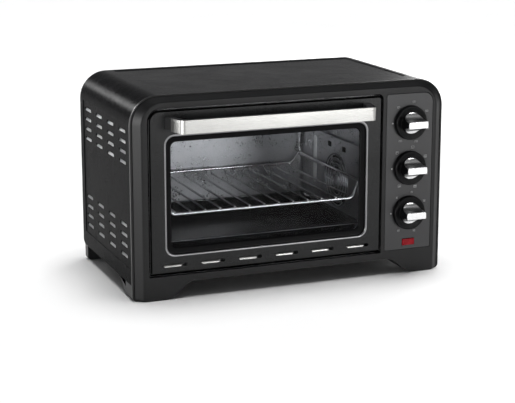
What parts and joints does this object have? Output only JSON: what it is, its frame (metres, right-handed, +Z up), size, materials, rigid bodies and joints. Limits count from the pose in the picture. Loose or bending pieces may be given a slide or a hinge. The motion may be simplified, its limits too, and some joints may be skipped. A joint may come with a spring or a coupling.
{
  "type": "toaster oven",
  "caption": "Countertop toaster oven with a drop-down glass door, rotary controls, convection fan and wire rack.",
  "frame": {"origin": "centre of the object's footprint on the standing surface", "axes": "+X to the user's right, along the front; +Y to the back; +Z up"},
  "size_m": [0.47, 0.309, 0.283],
  "materials": {
    "bezel_plastic": "satin black moulded",
    "panel_plastic": "satin black moulded",
    "cabinet_paint": "satin black powder coat",
    "base_steel": "dark coated steel",
    "door_paint": "gloss black",
    "cavity_steel": "aluminised steel",
    "element_sheath": "heat-darkened",
    "ceramic": "off-white",
    "enamel": "black enamel",
    "motor_steel": "plain",
    "switch_case": "plain",
    "red_lens": "clear red",
    "lamp_body": "plain",
    "gland_rubber": "black",
    "pin_steel": "ground",
    "screw_steel": "zinc",
    "glass": "clear tempered",
    "gasket": "heat-resistant grey",
    "handle_steel": "brushed along its length",
    "handle_plastic": "satin black",
    "rack_chrome": "bright",
    "knob_plastic": "satin black",
    "knob_trim": "satin silver"
  },
  "bodies": {
    "cabinet": {"front_bezel": "bezel_plastic", "rear_foot_left": "bezel_plastic", "rear_foot_right": "bezel_plastic", "control_panel": "panel_plastic", "outer_shell": "cabinet_paint", "base_panel": "base_steel", "back_panel": "cabinet_paint", "front_frame": "cavity_steel", "cavity_left_wall": "cavity_steel", "cavity_right_wall": "cavity_steel", "cavity_top_wall": "cavity_steel", "cavity_floor": "cavity_steel", "cavity_back_wall": "cavity_steel", "crumb_tray": "cavity_steel", "fan_housing": "cavity_steel", "upper_front_element": "element_sheath", "upper_rear_element": "element_sheath", "lower_front_element": "element_sheath", "lower_rear_element": "element_sheath", "element_insulators": "ceramic", "terminal_block": "ceramic", "baking_tray": "enamel", "fan_motor": "motor_steel", "thermostat": "switch_case", "function_switch": "switch_case", "timer": "switch_case", "indicator_lens": "red_lens", "indicator_lamp": "lamp_body", "cable_gland": "gland_rubber", "hinge_bush_left": "pin_steel", "hinge_bush_right": "pin_steel", "back_screws": "screw_steel", "base_screws": "screw_steel"},
    "door": {"door_frame": "door_paint", "door_glass": "glass", "glass_gasket": "gasket", "door_inner_frame": "cavity_steel", "inner_frame_screws": "screw_steel", "handle_band": "handle_steel", "handle_core": "handle_plastic", "handle_screws": "screw_steel", "hinge_pin_left": "pin_steel", "hinge_pin_right": "pin_steel"},
    "rack": {"wire_rack": "rack_chrome", "rack_rail_left": "rack_chrome", "rack_rail_right": "rack_chrome"},
    "fan": {"fan_blade": "cavity_steel", "fan_shaft": "pin_steel"},
    "thermostat_control": {"thermostat_knob": "knob_plastic", "thermostat_knob_trim": "knob_trim", "thermostat_shaft": "pin_steel"},
    "function_control": {"function_knob": "knob_plastic", "function_knob_trim": "knob_trim", "function_shaft": "pin_steel"},
    "timer_control": {"timer_knob": "knob_plastic", "timer_knob_trim": "knob_trim", "timer_shaft": "pin_steel"}
  },
  "joints": [
    {"name": "door_hinge", "type": "hinge", "parent": "cabinet", "child": "door", "pos_m": [-0.038, -0.1095, 0.04], "axis": [1, 0, 0], "range_deg": [0, 85]},
    {"name": "rack_slide", "type": "slide", "parent": "cabinet", "child": "rack", "axis": [0, -1, 0], "range_m": [0, 0.11]},
    {"name": "fan_spin", "type": "hinge", "parent": "cabinet", "child": "fan", "pos_m": [0.125, -0.0005, 0.12], "axis": [1, 0, 0], "continuous": true},
    {"name": "thermostat_turn", "type": "hinge", "parent": "cabinet", "child": "thermostat_control", "pos_m": [0.1796, -0.1145, 0.2225], "axis": [0, 1, 0], "range_deg": [0, 300]},
    {"name": "function_turn", "type": "hinge", "parent": "cabinet", "child": "function_control", "pos_m": [0.1796, -0.1145, 0.1565], "axis": [0, 1, 0], "range_deg": [0, 300]},
    {"name": "timer_turn", "type": "hinge", "parent": "cabinet", "child": "timer_control", "pos_m": [0.1796, -0.1145, 0.0905], "axis": [0, 1, 0], "range_deg": [0, 300]}
  ],
  "couplings": [
    {"joint": "rack_slide", "follows": "door_hinge", "m_per_rad": 0.07}
  ]
}
